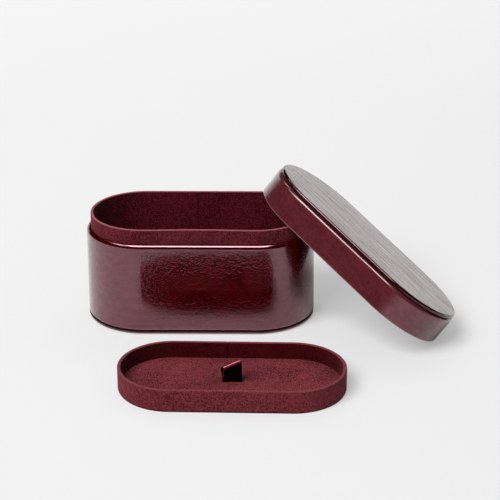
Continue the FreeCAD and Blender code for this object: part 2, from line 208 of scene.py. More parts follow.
def polished_leather(name, turned_back, dark, light, worn, wax=1.0, index=2.0, haze=0.09,
                     relief=0.26, bare=0.7, blush=(1.0, 0.36, 0.46, 1), tight=None, lit_lower_edge=None):
    finish = Finish(name)
    point = finish.place(turned_back)
    grain = finish.noise(point, 420.0, detail=2.0, rough=0.6, warp=0.4)
    pores = finish.noise(point, 1500.0, detail=2.0)
    peel = finish.noise(point, 250.0, detail=1.5, rough=0.5)
    pull = finish.noise(finish.place(turned_back, (0.55, 0.55, 1.0)), 110.0, detail=3.0, rough=0.6)
    swell = finish.noise(point, 34.0, detail=2.0)
    clouds = finish.noise(point, 75.0, detail=4.0, rough=0.6)
    streaks = finish.noise(finish.place(turned_back, (0.09, 1.0, 1.0)), 300.0, detail=3.0)
    drift = finish.ramp(clouds * 0.5 + grain * 0.5, (0.38, 0.0), (0.62, 1.0))
    colour = finish.mix(drift, dark, light)
    colour = finish.mix(finish.ramp(streaks, (0.5, 0.0), (0.8, 0.3)), colour, worn)
    # Painted highlight: a pale line along the lower edge at this level, where it catches the pale
    # floor.
    if lit_lower_edge is not None:
        level, strength = lit_lower_edge
        beside = abs(finish.axis(point, "Z") / MM - level) / LOWER_EDGE_WIDTH
        share = finish.ramp(beside, (0.25, strength), (0.6, 0.0))
        colour = finish.mix(share, colour, LOWER_EDGE_HIGHLIGHT)
    height = grain * 1.1 + pores * 0.12 + peel * 0.6 + pull * 0.3 + swell * 0.4 - MEAN_HEIGHT
    if tight is not None:
        edge = (finish.axis(point, "Z") / MM - tight) / TIGHT_FADE
        height = height * finish.ramp(edge, (0.0, 1.0), (1.0, 0.12))
    return finish.surface(
        Base__Color=colour, Roughness=haze + 0.02 + pores * 0.06, IOR=index,
        Specular__Tint=blush, Coat__Roughness=haze, Coat__IOR=1.56,
        Coat__Weight=finish.ramp(grain * 0.3 + streaks * 0.7, (0.40, bare * wax), (0.58, wax)),
        Normal=finish.bump(height, relief))


print("polished leather is ready")

# %% Leathers of the case, lid and tab
WALL_LOW, SHOULDER, SHOULDER_TIGHT, LID_TIGHT = 4.3, 87.0, 81.5, 22.0
case_leather = polished_leather(
    "case_polished_leather", None,
    (0.016, 0.0001, 0.0001, 1), (0.050, 0.0003, 0.0006, 1), (0.065, 0.0014, 0.0020, 1),
    tight=SHOULDER_TIGHT, lit_lower_edge=(WALL_LOW, 0.9))
# The lid's leathers are painted lighter and greyer than the case's: a painted reflection, for the
# dim haze that the lid's coat shows.
lid_leather = polished_leather(
    "lid_polished_leather", LID_PLACE,
    (0.060, 0.0084, 0.0112, 1), (0.092, 0.0144, 0.0190, 1), (0.11, 0.024, 0.030, 1),
    index=1.5, relief=0.18, bare=0.8, haze=0.17, tight=LID_TIGHT, lit_lower_edge=(0.0, 0.5))
lid_top_leather = polished_leather(
    "lid_top_polished_leather", LID_PLACE,
    (0.060, 0.0100, 0.0136, 1), (0.096, 0.0180, 0.0240, 1), (0.12, 0.034, 0.041, 1),
    index=1.6, relief=0.025, bare=0.1, blush=(1.0, 0.86, 0.88, 1))
# Painted shade: the tab's red leather is painted near-black; the red finish below gives its lit
# side and its dyed edge.
tab_leather = polished_leather(
    "tab_polished_leather", TRAY_PLACE,
    (0.0003, 0.0001, 0.0001, 1), (0.0008, 0.0002, 0.0002, 1), (0.001, 0.0003, 0.0003, 1),
    wax=0.06, index=1.1)
# Painted shade: darker leather for the plate edges that face into the grooves.
groove_shade_colours = ((0.008, 0.0004, 0.0006, 1), (0.022, 0.0010, 0.0014, 1), (0.04, 0.002, 0.003, 1))
lid_edge_shaded_leather = polished_leather("lid_edge_painted_shade_leather", LID_PLACE, *groove_shade_colours,
                                    wax=0.6, index=1.5, tight=LID_TIGHT)
base_edge_shaded_leather = polished_leather("base_edge_painted_shade_leather", None, *groove_shade_colours,
                                     wax=0.05, index=1.2)
# Red leather for the lit front of the fold, the lit copy beside the painted shade, and for the
# tab's dyed left edge.
tab_red_lit_and_edge = polished_leather(
    "tab_red_leather", TRAY_PLACE,
    (0.15, 0.003, 0.005, 1), (0.23, 0.006, 0.010, 1), (0.28, 0.012, 0.016, 1),
    haze=0.12, relief=0.03)
print("leather finishes", [finish.name for finish in (case_leather, lid_leather, tab_leather)])

# %% [markdown]
# ## Suede
# Suede is the brushed side of the skin: short fibres that lie this way and that, so it looks
# mottled, with darker patches where a thumb has pushed the nap over. It has no gloss, only a
# faint glow where it turns away from the eye, which the sheen gives. Noises of different grain,
# one of them stretched along the brushing, mix the light and dark red. The suede inside the case
# and the tray gets darker copies, a painted shade for the shade in there. A rim is painted
# lighter, partly wear and partly a painted highlight where its top meets the light, and a seam is
# pressed dark, so the height and the place of a point make masks for those.


# %% Suede finishes
WORN_AND_LIT_SUEDE, PRESSED_SUEDE = (0.275, 0.082, 0.098, 1), (0.010, 0.0008, 0.0012, 1)
RIM_DEPTH, SEAM_WIDTH, NAP_DEPTH = 1.0, 4.0, 0.2


def brushed_suede(name, turned_back, dark, light, seam=None, rim=None):
    finish = Finish(name)
    point = finish.place(turned_back)
    nap = finish.noise(point, 1200.0, detail=2.0, rough=0.6)
    tufts = finish.noise(point, 720.0, detail=2.0, rough=0.6, warp=0.4)
    strokes = finish.noise(finish.place(turned_back, (0.6, 1.0, 1.0)), 95.0, detail=3.0, warp=1.2)
    drift = finish.noise(point, 22.0, detail=2.0)
    share = nap * 1.2 + tufts * 1.0 + strokes * 0.3 + drift * 0.3
    colour = finish.mix(finish.ramp(share / 2.8, (0.43, 0.0), (0.57, 1.0)), dark, light)
    height = nap * 0.6 + tufts * 1.0 + strokes * 0.6
    # A rim painted lighter: partly wear, partly a painted highlight where its top meets the light.
    if rim is not None:
        level, strength = rim
        above = finish.axis(point, "Z") / MM - (level - RIM_DEPTH)
        colour = finish.mix(finish.ramp(above, (0.25, 0.0), (0.85, strength)), colour, WORN_AND_LIT_SUEDE)
    if seam is not None:
        place, behind, strength = seam
        beside = abs(finish.axis(point, "X") / MM - place)
        pressed = finish.ramp(beside / SEAM_WIDTH, (0.05, strength), (0.4, 0.0))
        pressed = pressed * (1 - (finish.axis(point, "Y") / MM < behind))
        colour = finish.mix(pressed, colour, PRESSED_SUEDE)
    return finish.surface(
        Base__Color=colour, Roughness=0.92, IOR=1.35, Specular__IOR__Level=0.1,
        Sheen__Weight=0.14, Sheen__Roughness=0.45, Sheen__Tint=(0.85, 0.25, 0.28, 1),
        Normal=finish.bump(height, NAP_DEPTH))


print("brushed suede is ready")

# %% Suedes of the case, lid and tray
NECK_SEAM, NECK_TOP = -3.9, 100.4
TRAY_SEAM, TRAY_TOP = -5.7, 20.4
case_suede = brushed_suede("case_suede", None, (0.025, 0.0018, 0.0037, 1),
                           (0.125, 0.0186, 0.0260, 1), rim=(NECK_TOP, 0.9))
# Painted shade: a darker copy of the case's suede for the faces inside the case.
case_inside = brushed_suede("case_suede_inside", None, (0.014, 0.0005, 0.0016, 1),
                            (0.104, 0.0084, 0.0155, 1), seam=(NECK_SEAM, 44.5, 0.45),
                            rim=(NECK_TOP, 0.9))
lid_suede = brushed_suede("lid_suede", LID_PLACE, (0.055, 0.0036, 0.0080, 1),
                          (0.225, 0.033, 0.046, 1))
tray_suede = brushed_suede("tray_suede", TRAY_PLACE, (0.054, 0.0064, 0.0086, 1),
                           (0.148, 0.0262, 0.0336, 1), rim=(TRAY_TOP, 0.25))
tray_bed = brushed_suede("tray_suede_bed", TRAY_PLACE, (0.021, 0.0016, 0.0026, 1),
                         (0.202, 0.0356, 0.0452, 1))
# Painted shade: a darker copy of the tray's suede for the inner wall and the underside.
tray_inside = brushed_suede("tray_suede_inside", TRAY_PLACE, (0.017, 0.0003, 0.0006, 1),
                            (0.062, 0.0032, 0.0044, 1), seam=(TRAY_SEAM, 43.2, 0.85))
print("suede finishes", [finish.name for finish in (case_suede, lid_suede, tray_suede)])

# %% [markdown]
# ## Card and felt
# The boards that stiffen the case are brown card, and the foot is pressed felt. They show
# only at the bottom of the grooves, but they are part of the model, so they get the fibres and
# specks of the real sheets. The card is made very dark, partly its own brown and partly a painted
# shade for the grooves where it shows.


# %% Card and felt finishes
def fibre_sheet(name, dark, light, fibre, depth):
    finish = Finish(name)
    point = finish.place(None, (1.0, 1.0, 0.35))
    fibres = finish.noise(point, fibre, detail=5.0, rough=0.7, warp=1.5)
    specks = finish.ramp(finish.cells(finish.place(), fibre * 1.3), (0.06, 0.0), (0.16, 1.0))
    colour = finish.mix(finish.ramp(fibres, (0.3, 0.0), (0.7, 1.0)), dark, light)
    colour = finish.mix((1 - specks) * 0.5, colour, dark)
    return finish.surface(Base__Color=colour, Roughness=0.85 + fibres * 0.1, IOR=1.4,
                          Normal=finish.bump(fibres + specks * 0.3, depth))


# Very dark brown card, partly painted shade for the bottoms of the grooves.
card = fibre_sheet("brown_card", (0.004, 0.002, 0.002, 1), (0.013, 0.007, 0.006, 1),
                   fibre=420.0, depth=0.05)
felt = fibre_sheet("black_felt", (0.010, 0.008, 0.009, 1), (0.035, 0.026, 0.028, 1),
                   fibre=700.0, depth=0.2)
print("sheet finishes", card.name, felt.name)

# %% [markdown]
# ## Modelling helpers
# Every ring on this object is the same move: draw the section of the wall at the back, pull it
# along the straight, spin it round the end, and so on until it meets itself. Every flat sheet is
# a circle pulled apart in the middle and given a thickness. So these two moves, a way to pick
# vertices by place, and one closing step for smooth shading, are written once.


# %% Picking and closing
# How close counts as the same place, in millimetres: for a corner, and for a round side.
NEAR, NEARLY = 0.01, 0.1
SMOOTH_UP_TO, SHARP_FROM = math.radians(40), math.radians(50)


def pick(test, mode="VERT"):
    """Selects the vertices, edges or faces whose points all pass a test, in millimetres."""
    bpy.ops.mesh.select_mode(type=mode)
    bpy.ops.mesh.select_all(action="DESELECT")
    mesh = bpy.context.object.data
    shape = bmesh.from_edit_mesh(mesh)
    found = 0
    for item in {"VERT": shape.verts, "EDGE": shape.edges, "FACE": shape.faces}[mode]:
        points = [item.co] if mode == "VERT" else [vertex.co for vertex in item.verts]
        if all(test(point / MM) for point in points):
            item.select_set(True)
            found += 1
    bmesh.update_edit_mesh(mesh)
    return found


def pull(x=0.0, y=0.0, z=0.0):
    bpy.ops.mesh.extrude_region_move(TRANSFORM_OT_translate={"value": (x * MM, y * MM, z * MM)})


def cut_across(place, way):
    """Cuts the mesh that is open for editing with a plane."""
    bpy.ops.mesh.select_all(action="SELECT")
    bpy.ops.mesh.bisect(plane_co=Vector(place) * MM, plane_no=way)


def change(piece, kind, **settings):
    """Adds a modifier, sets it and applies it."""
    modifier = piece.modifiers.new(kind.lower(), kind)
    for name, value in settings.items():
        setattr(modifier, name, value)
    bpy.ops.object.modifier_apply(modifier=modifier.name)


def close_piece(piece, place, body, finishes, nodes):
    """Puts a modelled piece in its place, smooths it and hands it to the frame."""
    bpy.ops.object.mode_set(mode="OBJECT")
    bpy.ops.object.shade_smooth_by_angle(angle=SMOOTH_UP_TO)
    change(piece, "WEIGHTED_NORMAL", mode="FACE_AREA", weight=50, keep_sharp=True)
    piece.matrix_world = place
    bpy.ops.object.transform_apply(location=True, rotation=True, scale=True)
    # A piece with two finishes has them already, from second_finish.
    for finish in finishes[len(piece.data.materials):]:
        piece.data.materials.append(finish)
    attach(piece, body)
    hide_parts(*nodes)
    size = [round(side / MM, 1) for side in piece.dimensions]
    print(piece.name, size, "mm,", len(piece.data.polygons), "faces")


print("picking and closing are ready")


# %% Rings
def start_section(name, outer, inner, low, high, seam=0.0):
    """Stands the section of a ring at the back of the racetrack and opens it for editing."""
    bpy.ops.object.select_all(action="DESELECT")
    middle = Vector((seam, RADIUS - (outer + inner) / 2, (low + high) / 2))
    bpy.ops.mesh.primitive_plane_add(size=1, location=middle * MM,
                                     rotation=(math.pi / 2, 0, math.pi / 2))
    piece = bpy.context.object
    piece.name = piece.data.name = name
    piece.scale = ((inner - outer) * MM, (high - low) * MM, 1)
    bpy.ops.object.transform_apply(location=True, rotation=True, scale=True)
    bpy.ops.object.mode_set(mode="EDIT")
    return piece


def round_corner(inset, level, radius, segments=4):
    """Rounds the corner of the section that stands at an inset and a level."""
    pick(lambda p: abs(RADIUS - p.y - inset) < NEAR and abs(p.z - level) < NEAR)
    bpy.ops.mesh.bevel(offset=radius * MM, segments=segments, affect="VERTICES")


def keep_outline():
    """Leaves only the outline of the section, so that no end faces are swept along."""
    bpy.ops.mesh.select_all(action="SELECT")
    bpy.ops.mesh.delete(type="ONLY_FACE")


def drop_edges(test):
    """Removes the parts of the section that the real skin doesn't cover."""
    pick(test, "EDGE")
    bpy.ops.mesh.delete(type="EDGE")


def sweep_round(seam=0.0, gap=0.0):
    """Pulls and spins the whole open section once round the racetrack."""
    straight = [(-1, HALF_RUN + seam - gap / 2), (1, 2 * HALF_RUN),
                (-1, HALF_RUN - seam - gap / 2)]
    bpy.ops.mesh.select_mode(type="EDGE")
    bpy.ops.mesh.select_all(action="SELECT")
    if gap:
        bpy.ops.transform.translate(value=(-gap / 2 * MM, 0, 0))
    for side, (way, length) in enumerate(straight):
        steps = max(2, round(length / STRAIGHT_STEP))
        for step in range(steps):
            pull(x=way * length / steps)
        if side < 2:
            bpy.ops.mesh.spin(steps=ROUND_STEPS, angle=-math.pi, axis=(0, 0, 1),
                              center=((-1, 1)[side] * HALF_RUN * MM, 0, 0))
    bpy.ops.mesh.select_all(action="SELECT")
    bpy.ops.mesh.remove_doubles(threshold=NEAR * MM)
    bpy.ops.mesh.normals_make_consistent(inside=False)


def inset_of(p):
    """How far inside the case's outline a point stands."""
    return RADIUS - math.hypot(max(abs(p.x) - HALF_RUN, 0.0), p.y)


def second_finish(piece, first, second, test):
    """Gives the faces that pass a test the second of two finishes."""
    for finish in (first, second):
        piece.data.materials.append(finish)
    piece.active_material_index = 1
    found = pick(test, "FACE")
    bpy.ops.object.material_slot_assign()
    print(piece.name, "has", found, "faces of", second.name)


def give_thickness(piece, thick):
    bpy.ops.object.mode_set(mode="OBJECT")
    change(piece, "SOLIDIFY", thickness=thick * MM, offset=-1.0, use_even_offset=True)


print("rings are ready")


# %% Sheets
def start_sheet(name, inset, low, high):
    """A racetrack sheet between two levels, open for editing."""
    bpy.ops.object.select_all(action="DESELECT")
    half_step = math.pi / (2 * ROUND_STEPS)
    bpy.ops.mesh.primitive_circle_add(vertices=2 * ROUND_STEPS, radius=(RADIUS - inset) * MM,
                                      fill_type="NGON", location=(0, 0, low * MM),
                                      rotation=(0, 0, half_step))
    piece = bpy.context.object
    piece.name = piece.data.name = name
    bpy.ops.object.transform_apply(location=True, rotation=True, scale=True)
    bpy.ops.object.mode_set(mode="EDIT")
    for side in (1, -1):
        pick(lambda p: p.x * side > 0)
        bpy.ops.transform.translate(value=(side * HALF_RUN * MM, 0, 0))
    bpy.ops.mesh.select_all(action="SELECT")
    pull(z=high - low)
    bpy.ops.mesh.select_all(action="SELECT")
    bpy.ops.mesh.normals_make_consistent(inside=False)
    return piece


def round_rim(level, radius, segments=4):
    """Rounds the outline of a sheet at a level."""
    pick(lambda p: abs(p.z - level) < NEAR, "EDGE")
    bpy.ops.mesh.bevel(offset=radius * MM, segments=segments, affect="EDGES")


print("sheets are ready")

# %% [markdown]
# ## The case's leather wall
# One strip of leather runs round the box and turns in over its top and bottom edges. The shoulder
# is the roundest edge, because the card under it gives, and it catches the light as a thin white
# line; the wall leans in by half a millimetre on the way up. The section is a rectangle with two
# rounded corners, swept as a thin skin. The card inside has to follow the round shoulder and the
# lean, so it is drawn and swept in the same way.

# %% Leather wall
WALL_OUT, WALL_IN, LEAN = 0.0, 4.4, 0.55
SHOULDER_EDGE, FOOT_EDGE = 4.05, 1.4


def lean_in(outer, level):
    """Draws the top of the section's outer side inwards."""
    pick(lambda p: abs(RADIUS - p.y - outer) < NEAR and abs(p.z - level) < NEAR)
    bpy.ops.transform.translate(value=(0, -LEAN * MM, 0))


wall = start_section("case_wall_leather", WALL_OUT, WALL_IN, WALL_LOW, SHOULDER)
lean_in(WALL_OUT, SHOULDER)
round_corner(WALL_OUT + LEAN, SHOULDER, SHOULDER_EDGE, segments=10)
round_corner(WALL_OUT, WALL_LOW, FOOT_EDGE, segments=6)
keep_outline()
sweep_round()
give_thickness(wall, LEATHER)
close_piece(wall, CASE_PLACE, "case", [case_leather], ["wall_leather"])

# %% Card in the wall
CARD_OUT, CARD_IN, CARD_LOW, CARD_TOP, CARD_EDGE = 1.15, 3.85, 5.5, 86.2, 2.35
wall_card = start_section("wall_card", CARD_OUT, CARD_IN, CARD_LOW, CARD_TOP)
lean_in(CARD_OUT, CARD_TOP)
round_corner(CARD_OUT + LEAN, CARD_TOP, CARD_EDGE, segments=6)
keep_outline()
sweep_round()
close_piece(wall_card, CASE_PLACE, "case", [card], ["wall_board"])

# %% [markdown]
# ## Base plate and lid plate
# The bottom of the case and the top of the lid are the same thing: a card plate with leather
# drawn over it and turned in at the back. Between plate and wall a narrow groove runs all round.
# A sheet is rounded at both rims, its hidden face is inset and opened where the next card is
# glued on, and a thickness makes it a skin. The lid's plate is the rounder one. The lid plate's
# edge and the upper part of the base plate's edge get a darker leather, a painted shade for the
# shade in the groove.


# %% Wrapped plates
def wrapped_plate(name, inset, low, high, shown_up, opening, edge):
    piece = start_sheet(name, inset, low, high)
    face, back = (high, low) if shown_up else (low, high)
    round_rim(face, edge, segments=8)
    round_rim(back, SMALL_EDGE, segments=3)
    pick(lambda p: abs(p.z - back) < NEAR, "FACE")
    bpy.ops.mesh.inset(thickness=opening * MM)
    bpy.ops.mesh.delete(type="FACE")
    return piece


FOOT_TOP, BASE_TOP, BASE_SHADE = 0.8, 3.7, 2.4
base = wrapped_plate("base_plate_leather_skin", inset=0.15, low=FOOT_TOP, high=BASE_TOP,
                     shown_up=False, opening=3.85, edge=0.7)
cut_across((0, 0, BASE_SHADE), (0, 0, 1))
second_finish(base, case_leather, base_edge_shaded_leather, lambda p: p.z > BASE_SHADE - NEAR)
give_thickness(base, PLATE_LEATHER)
close_piece(base, CASE_PLACE, "case", [case_leather, base_edge_shaded_leather],
            ["base_plate_leather"])

# %% Lid plate
LID_PLATE_LOW, LID_TOP = 27.6, 30.5
top = wrapped_plate("lid_plate_leather_skin", inset=0.8, low=LID_PLATE_LOW, high=LID_TOP,
                    shown_up=True, opening=2.3, edge=1.9)
second_finish(top, lid_edge_shaded_leather, lid_top_leather, lambda p: p.z > LID_TOP - NEAR)
give_thickness(top, PLATE_LEATHER)
close_piece(top, LID_PLACE, "lid", [lid_edge_shaded_leather, lid_top_leather],
            ["lid_plate_leather"])

# %% [markdown]
# ## Suede neck
# Inside the leather wall stands a second ring of thin card, covered in suede on both sides. It
# rises above the shoulder as the neck that the lid slips over. Its inner faces get the darker
# suede, a painted shade inside the case, and its ends meet at the back, where the lining shows a
# seam. Card this thin doesn't stay straight: at the front the rim bows in by a millimetre or so,
# which is a pull on a few vertices with soft falloff. The card inside bows with it, so it is
# modelled too.

# %% Neck
FLOOR = 7.2
NECK_OUT, NECK_IN = 4.5, 7.1
NECK_GAP, GLUED = 0.2, 0.65
BOW, BOW_HALF, BOW_RIM, BOW_REACH = 1.3, 12.0, 1.2, 46.0
BOW_LEVELS = (60.0, 72.0, 80.0, 88.0, 95.0)


def cut_levels():
    """Cuts the open section at a few levels, so that the ring can bow."""
    for level in BOW_LEVELS:
        cut_across((0, 0, level), (0, 0, 1))


def bow_front():
    """Pushes the middle of the front rim in, with what is near it."""
    pick(lambda p: p.y < 0 and abs(p.x) < BOW_HALF and p.z > NECK_TOP - BOW_RIM)
    bpy.ops.transform.translate(value=(0, BOW * MM, 0), use_proportional_edit=True,
                                proportional_edit_falloff="SMOOTH",
                                proportional_size=BOW_REACH * MM)


neck = start_section("neck_suede_skin", NECK_OUT, NECK_IN, FLOOR, NECK_TOP, NECK_SEAM)
round_corner(NECK_OUT, NECK_TOP, EDGE)
round_corner(NECK_IN, NECK_TOP, EDGE)
drop_edges(lambda p: p.z < FLOOR + NEAR)
cut_levels()
sweep_round(NECK_SEAM, NECK_GAP)
second_finish(neck, case_suede, case_inside, lambda p: inset_of(p) > NECK_IN - NEARLY)
bow_front()
give_thickness(neck, SUEDE)
close_piece(neck, CASE_PLACE, "case", [case_suede, case_inside], ["neck_suede"])

# %% Neck card
NECK_CARD_TOP = NECK_TOP - 0.6
neck_card = start_section("neck_card", NECK_OUT + GLUED, NECK_IN - GLUED, FLOOR, NECK_CARD_TOP)
keep_outline()
cut_levels()
sweep_round()
bow_front()
close_piece(neck_card, CASE_PLACE, "case", [card], ["neck_board"])

# %% [markdown]
# ## Ledge, floor and ceiling linings
# A lower ring inside the neck carries the tray. Only its top and its inner side are lined, so its
# section is an angle. The floor of the case, the ceiling of the lid and the bottom of the tray
# are thin pads: suede over a little foam, so their rims are softly rounded.

# %% Ledge
LEDGE_TOP, LEDGE_OUT, LEDGE_IN = 56.0, 7.2, 10.2
ledge = start_section("ledge_suede_skin", LEDGE_OUT, LEDGE_IN, FLOOR, LEDGE_TOP)
round_corner(LEDGE_IN, LEDGE_TOP, SMALL_EDGE)
drop_edges(lambda p: p.z < FLOOR + NEAR)
drop_edges(lambda p: RADIUS - p.y < LEDGE_OUT + NEAR)
sweep_round()
give_thickness(ledge, SUEDE)
close_piece(ledge, CASE_PLACE, "case", [case_inside], ["ledge_suede"])


# %% Pads
def pad(name, inset, low, high, shown_up, swell=0.25, rim=1.0):
    """A thin foam pad under suede: rounded at its shown rim and a little crowned."""
    piece = start_sheet(name, inset, low, high)
    face = high if shown_up else low
    round_rim(face, rim, segments=5)
    pick(lambda p: abs(p.z - face) < NEAR, "FACE")
    for step, rise in ((3.0, 0.6), (6.0, 0.4)):
        bpy.ops.mesh.inset(thickness=step * MM)
        lift = swell * rise * (1 if shown_up else -1)
        bpy.ops.transform.translate(value=(0, 0, lift * MM))
    return piece


CEILING = 24.1
floor_pad = pad("case_floor_pad", inset=10.3, low=FLOOR, high=9.6, shown_up=True)
close_piece(floor_pad, CASE_PLACE, "case", [case_inside], ["floor_foam", "floor_suede"])
ceiling = pad("lid_ceiling_pad", inset=4.2, low=21.7, high=CEILING, shown_up=False)
close_piece(ceiling, LID_PLACE, "lid", [lid_suede], ["lid_panel_foam", "lid_panel_suede"])
foot = pad("foot_felt_pad", inset=6.8, low=0.0, high=FOOT_TOP, shown_up=False,
           swell=0.0, rim=0.3)
close_piece(foot, CASE_PLACE, "case", [felt], ["foot_pad"])

# %% [markdown]
# ## The lid's skirt
# The lid's side is a low ring like the wall, with leather turned in at the mouth and a suede
# lining that starts a little above it. It is drawn with the mouth down on the ground and then
# carried, place and all, to where the lid leans.

# %% Lid skirt
MOUTH, SKIRT_TOP, SKIRT_IN = 0.0, 26.3, 3.5
SKIRT_EDGE, MOUTH_EDGE = 3.2, 1.4
skirt = start_section("lid_skirt_leather_skin", WALL_OUT, SKIRT_IN, MOUTH, SKIRT_TOP)
round_corner(WALL_OUT, SKIRT_TOP, SKIRT_EDGE, segments=8)
round_corner(WALL_OUT, MOUTH, MOUTH_EDGE, segments=6)
round_corner(SKIRT_IN, MOUTH, SMALL_EDGE)
keep_outline()
sweep_round()
give_thickness(skirt, LEATHER)
close_piece(skirt, LID_PLACE, "lid", [lid_leather], ["lid_skirt_leather"])

# %% Lid lining
LINING_OUT, LINING_IN, LINING_LOW = 3.55, 4.1, 1.5
lining = start_section("lid_skirt_lining_suede", LINING_OUT, LINING_IN, LINING_LOW, CEILING)
round_corner(LINING_IN, LINING_LOW, radius=0.3)
keep_outline()
sweep_round()
close_piece(lining, LID_PLACE, "lid", [lid_suede], ["lid_skirt_lining"])

# %% [markdown]
# ## The tray
# The tray is a low racetrack wall of card wrapped in suede, turned under at the bottom and over
# the rim, with a padded floor and a thin sheet underneath in the darker suede, a painted shade
# under the tray. The suede's ends meet inside the back wall, where a dark seam shows. The inner
# side of the wall gets the darker suede too, a painted shade inside the tray, and the floor has a
# suede finish of its own. The pull tab comes up through a slit in the middle of the floor.

# %% Tray wall
TRAY_OUT, TRAY_IN, TRAY_SKIN = 7.6, 10.6, 1.0
TRAY_BOARD, TURNED_UNDER, TRAY_GAP = 2.5, 12.0, 0.3
TRAY_BED = TRAY_SKIN + TRAY_BOARD
tray_wall = start_section("tray_wall_suede_skin", TRAY_OUT, TRAY_IN, TRAY_SKIN, TRAY_TOP,
                          TRAY_SEAM)
drop_edges(lambda p: p.z < TRAY_SKIN + NEAR)
pick(lambda p: p.z < TRAY_SKIN + NEAR and RADIUS - p.y > TRAY_IN - NEAR)
bpy.ops.transform.translate(value=(0, 0, TRAY_BOARD * MM))
pick(lambda p: p.z < TRAY_SKIN + NEAR and RADIUS - p.y < TRAY_OUT + NEAR)
pull(y=-TURNED_UNDER)
round_corner(TRAY_OUT, TRAY_TOP, EDGE)
round_corner(TRAY_IN, TRAY_TOP, EDGE)
round_corner(TRAY_OUT, TRAY_SKIN, radius=0.6)
sweep_round(TRAY_SEAM, TRAY_GAP)
second_finish(tray_wall, tray_suede, tray_inside,
              lambda p: inset_of(p) > TRAY_IN - NEARLY and p.z > TRAY_BED - NEARLY)
give_thickness(tray_wall, SUEDE)
close_piece(tray_wall, TRAY_PLACE, "tray", [tray_suede, tray_inside], ["tray_wall_suede"])

# %% Tray floor
SLIT_WIDE, SLIT_DEEP = 18.2, 4.4
CUT_MIDDLE, CUT_HIGH = 5.0, 20.0
tray_floor = pad("tray_floor_pad", inset=10.7, low=TRAY_BED, high=5.7, shown_up=True, swell=0.12)
bpy.ops.object.mode_set(mode="OBJECT")
bpy.ops.object.select_all(action="DESELECT")
bpy.ops.mesh.primitive_cube_add(size=1, location=(0, 0, CUT_MIDDLE * MM))
cutter = bpy.context.object
cutter.scale = (SLIT_WIDE * MM, SLIT_DEEP * MM, CUT_HIGH * MM)
bpy.ops.object.transform_apply(location=True, rotation=True, scale=True)
bpy.ops.object.select_all(action="DESELECT")
tray_floor.select_set(True)
bpy.context.view_layer.objects.active = tray_floor
change(tray_floor, "BOOLEAN", object=cutter, operation="DIFFERENCE", solver="EXACT")
bpy.data.objects.remove(cutter)
close_piece(tray_floor, TRAY_PLACE, "tray", [tray_bed],
            ["tray_floor_foam", "tray_floor_suede"])

# %% Tray underside
UNDERSIDE, UNDER_GAP = 0.0, 0.03
# Painted shade: the thin sheet under the tray gets the darker inner suede, so a dark line shows at
# its foot.
underside = start_sheet("tray_underside_suede_skin", inset=8.1, low=UNDERSIDE,
                        high=TRAY_SKIN - UNDER_GAP)
round_rim(UNDERSIDE, radius=0.25, segments=3)
close_piece(underside, TRAY_PLACE, "tray", [tray_inside], ["tray_underside_suede"])

# %% [markdown]
# ## The pull tab
# The tab is one leather strap folded over itself. Its two legs come up out of the slit, but the
# fold runs at a slant, low on the left and high on the right, because the strap was pulled to
# one side. A plane is the front leg; its top edge is spun over to make the fold and pulled down
# as the back leg. Then the fold is turned, and the legs follow it. The strap is painted black, a
# painted shade over its red leather; the red shows on the lit front of the fold, and at the top
# of its left edge, where the cut edge is dyed red.

# %% Strap loop
TAB_WIDTH, TAB_ASIDE, STRAP, TAB_FOOT = 16.6, 0.4, 1.2, 5.75
FOLD_HIGH, FOLD_RADIUS, FOLD_LEAN = 14.2, 1.5, 1.6
FOLD_STEPS, SIDE_SLIP, LEG_APART = 16, 2.4, 0.72
leg_middle = Vector((TAB_ASIDE, FOLD_LEAN - FOLD_RADIUS, TAB_FOOT + FOLD_HIGH / 2))
bpy.ops.object.select_all(action="DESELECT")
bpy.ops.mesh.primitive_plane_add(size=1, location=leg_middle * MM, rotation=(math.pi / 2, 0, 0))
tab = bpy.context.object
tab.name = tab.data.name = "pull_tab_strap"
tab.scale = (TAB_WIDTH * MM, FOLD_HIGH * MM, 1)
bpy.ops.object.transform_apply(location=True, rotation=True, scale=True)
bpy.ops.object.mode_set(mode="EDIT")
fold = Vector((0, FOLD_LEAN, TAB_FOOT + FOLD_HIGH))
pick(lambda p: p.z > fold.z - NEAR, "EDGE")
bpy.ops.mesh.spin(steps=FOLD_STEPS, angle=math.pi, axis=(1, 0, 0), center=fold * MM)
for step in range(1, FOLD_STEPS + 1):
    ring = fold.y - FOLD_RADIUS * math.cos(math.pi * step / FOLD_STEPS)
    pick(lambda p: p.z > fold.z - NEAR and abs(p.y - ring) < NEAR)
    bpy.ops.transform.translate(value=(-SIDE_SLIP * step / FOLD_STEPS * MM, 0, 0))
pick(lambda p: abs(p.z - fold.z) < NEAR and p.y > fold.y + FOLD_RADIUS / 2, "EDGE")
pull(x=SIDE_SLIP, z=-FOLD_HIGH)
for side in (-1, 1):
    found = pick(lambda p: p.z < TAB_FOOT + NEARLY and (p.y - fold.y) * side > 0)
    together = side * LEG_APART - fold.y - side * FOLD_RADIUS
    bpy.ops.transform.translate(value=(0, together * MM, 0))
    print("leg", side, "has", found, "points at its foot")

# %% Slant of the fold
SLANT, TWIST = 22.5, 7.0
BAND_WIDTH, SHADED_BELOW, LIT_STOPS_SHORT = 0.9, 5.0, 0.5
EDGE_BAND = BAND_WIDTH - TAB_WIDTH / 2
cut_across((EDGE_BAND, 0, 0), (1, 0, 0))


def on_lit_fold_or_red_edge(p):
    """True on the front of the fold, which is the lit red side, and on the left edge of the front
    leg, which is dyed red.
    """
    on_fold = p.z > fold.z - NEAR and p.x > EDGE_BAND - NEAR
    on_edge = p.z < fold.z + NEAR and p.x < EDGE_BAND + NEAR
    return p.y < fold.y - LIT_STOPS_SHORT and (on_fold or on_edge)


